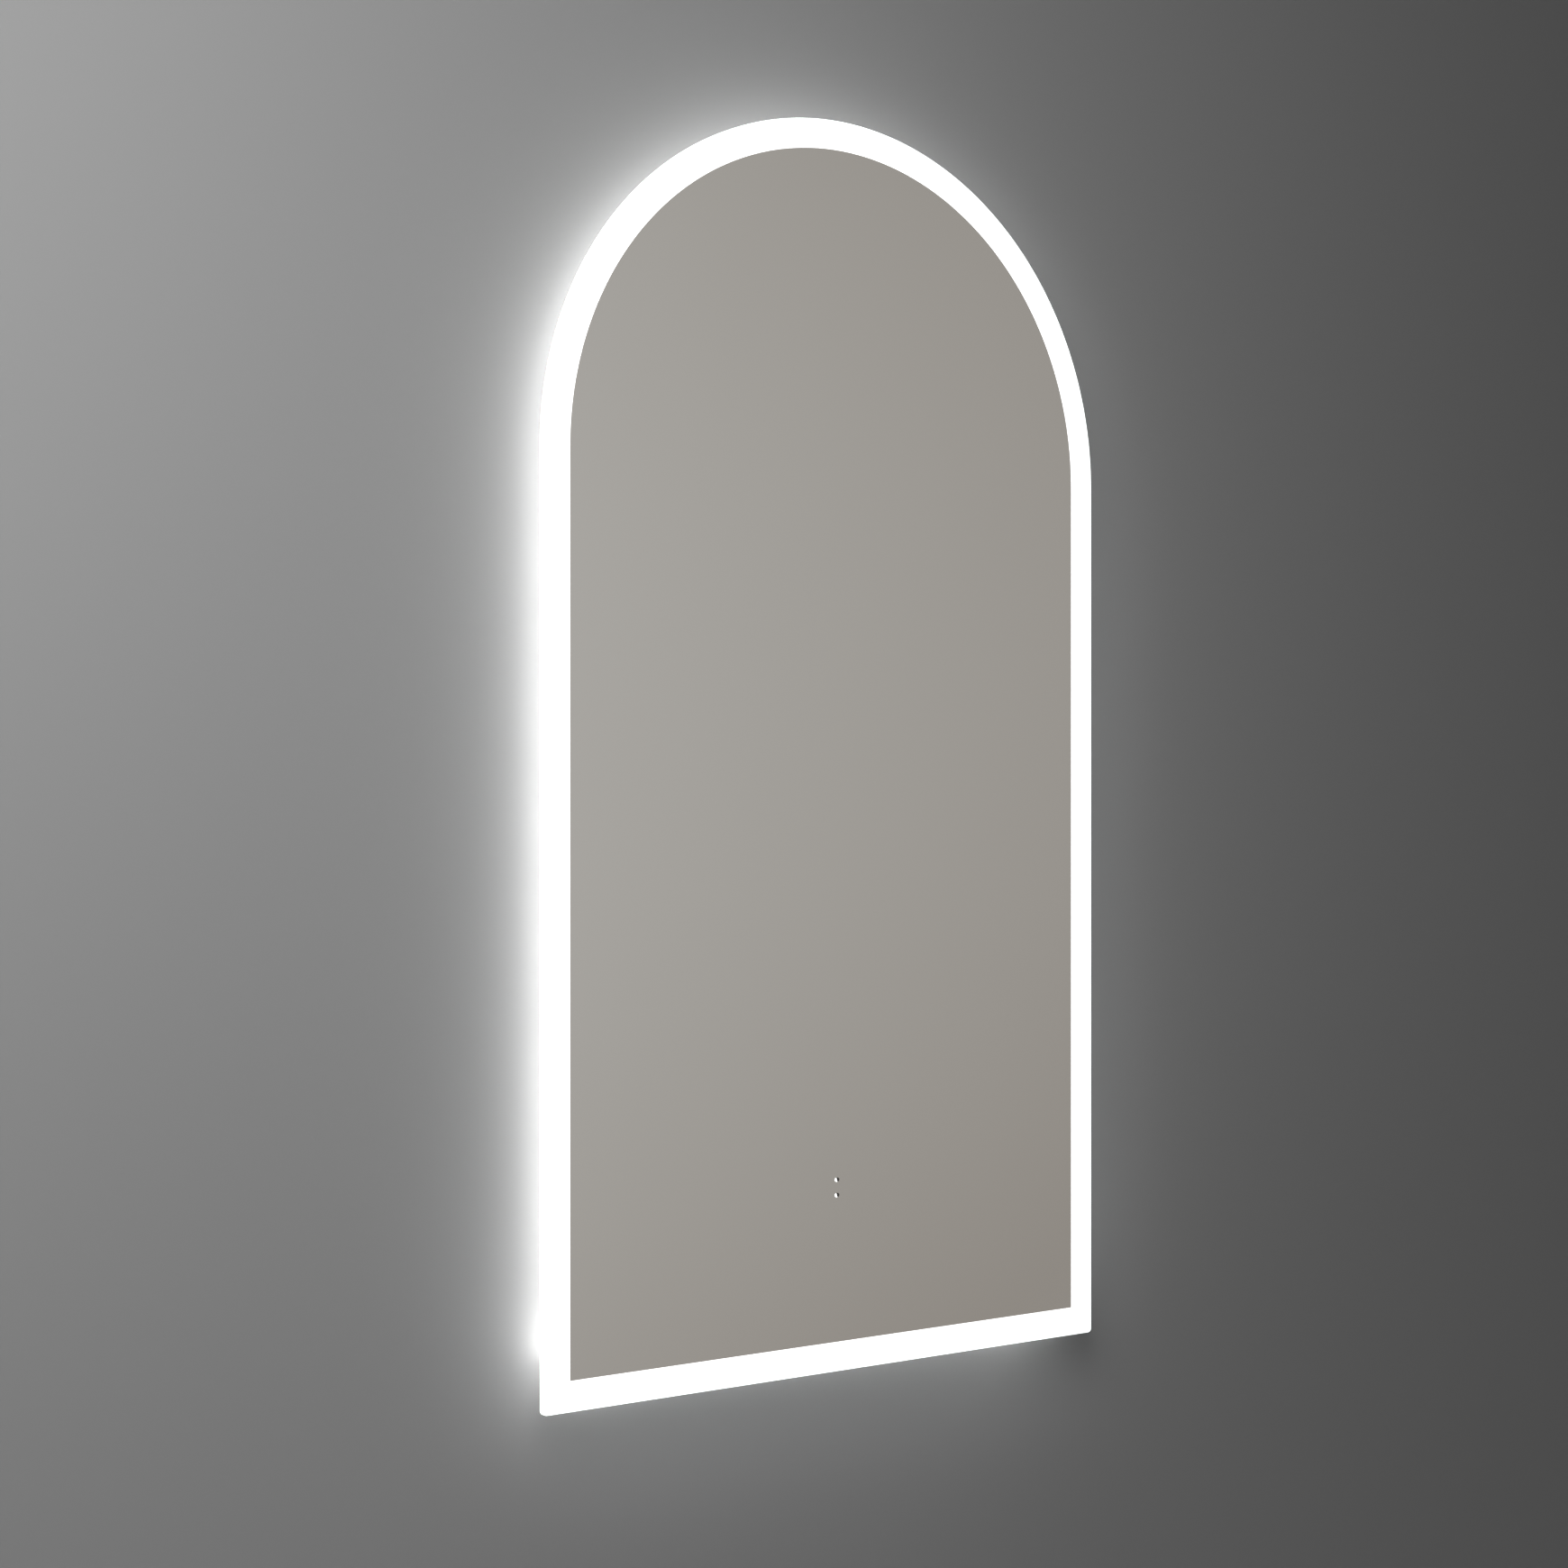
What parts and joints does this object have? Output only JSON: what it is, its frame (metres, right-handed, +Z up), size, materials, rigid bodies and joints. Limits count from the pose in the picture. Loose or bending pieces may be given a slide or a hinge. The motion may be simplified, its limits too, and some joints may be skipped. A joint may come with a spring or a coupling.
{
  "type": "lighted bathroom mirror",
  "caption": "Arched wall mirror with a frosted border lit from behind, touch sensors and demister, hooked on a screwed wall rail.",
  "frame": {"origin": "middle of the wall rail's two screw slots, on the wall's face", "axes": "+X to the right seen from the room, +Y into the wall, +Z up"},
  "size_m": [0.5, 0.035, 0.8999],
  "materials": {
    "clear_glass": "polished 5 mm float glass with a ground edge",
    "silvering": "silver mirror coat under grey backing paint",
    "frosting": "sandblasted translucent white, lit from behind",
    "backing_film": "matt grey safety film",
    "foam_tape": "black double-sided foam tape",
    "anodised_aluminium": "satin anodised extrusion",
    "die_cast": "dull die-cast zinc",
    "zinc_steel": "zinc-plated steel",
    "galvanised_steel": "galvanised sheet steel",
    "brass": "bare brass",
    "tinned_copper": "tinned copper",
    "black_rubber": "matt black rubber",
    "strip_board": "white solder mask",
    "led_package": "white package with a yellow phosphor window",
    "opal_diffuser": "opal extruded acrylic",
    "white_plastic": "fine-textured moulded plastic",
    "driver_case": "moulded driver case",
    "clear_nylon": "natural nylon",
    "grey_nylon": "light grey nylon",
    "black_plastic": "black moulded plastic",
    "heater_film": "pale heater film with a printed track",
    "lit_lens": "clear light guide, lit white",
    "white_lead": "white PVC sheath",
    "earth_lead": "green and yellow PVC insulation"
  },
  "bodies": {
    "wall_rail": {"wall_rail": "galvanised_steel"},
    "mirror": {"bar_screws": "zinc_steel", "bonding_tape": "foam_tape", "box_tapes": "foam_tape", "corner_keys": "die_cast", "cover_gasket": "black_rubber", "cover_screws": "zinc_steel", "demister_lead": "white_lead", "demister_pad": "heater_film", "demister_terminal": "black_plastic", "diffuser_arch": "opal_diffuser", "diffuser_bottom": "opal_diffuser", "diffuser_left": "opal_diffuser", "diffuser_right": "opal_diffuser", "driver_cover": "white_plastic", "driver_tray": "white_plastic", "earth_lead": "earth_lead", "earth_ring": "tinned_copper", "earth_screw": "brass", "frame_arch": "anodised_aluminium", "frame_bottom": "anodised_aluminium", "frame_left": "anodised_aluminium", "frame_right": "anodised_aluminium", "frame_screws": "zinc_steel", "frosted_border": "frosting", "gland_body": "grey_nylon", "gland_cap": "grey_nylon", "gland_locknut": "grey_nylon", "gland_seal": "black_rubber", "hanging_bar": "galvanised_steel", "hinge_pin": "zinc_steel", "lead_clips": "clear_nylon", "lead_grommets": "black_rubber", "led_chips_arch": "led_package", "led_chips_bottom": "led_package", "led_chips_left": "led_package", "led_chips_right": "led_package", "led_driver": "driver_case", "led_lead": "white_lead", "led_strip": "strip_board", "lower_bar": "galvanised_steel", "mirror_glass": "clear_glass", "safety_film": "backing_film", "sensor_board": "strip_board", "sensor_housing": "black_plastic", "sensor_lead": "white_lead", "sensor_lenses": "lit_lens", "silver_coating": "silvering", "splice_keys": "die_cast", "strip_connector": "white_plastic", "terminal_block": "clear_nylon", "terminal_screws": "brass", "wall_bumpers": "black_rubber"},
    "terminal_cover": {"terminal_cover": "white_plastic"}
  },
  "joints": [
    {"name": "lift_off", "type": "slide", "parent": "wall_rail", "child": "mirror", "axis": [0, 0, 1], "range_m": [0, 0.012]},
    {"name": "terminal_cover_hinge", "type": "hinge", "parent": "mirror", "child": "terminal_cover", "pos_m": [0.0848, -0.0067, -0.1508], "axis": [1, 0, 0], "range_deg": [0, 110]}
  ]
}
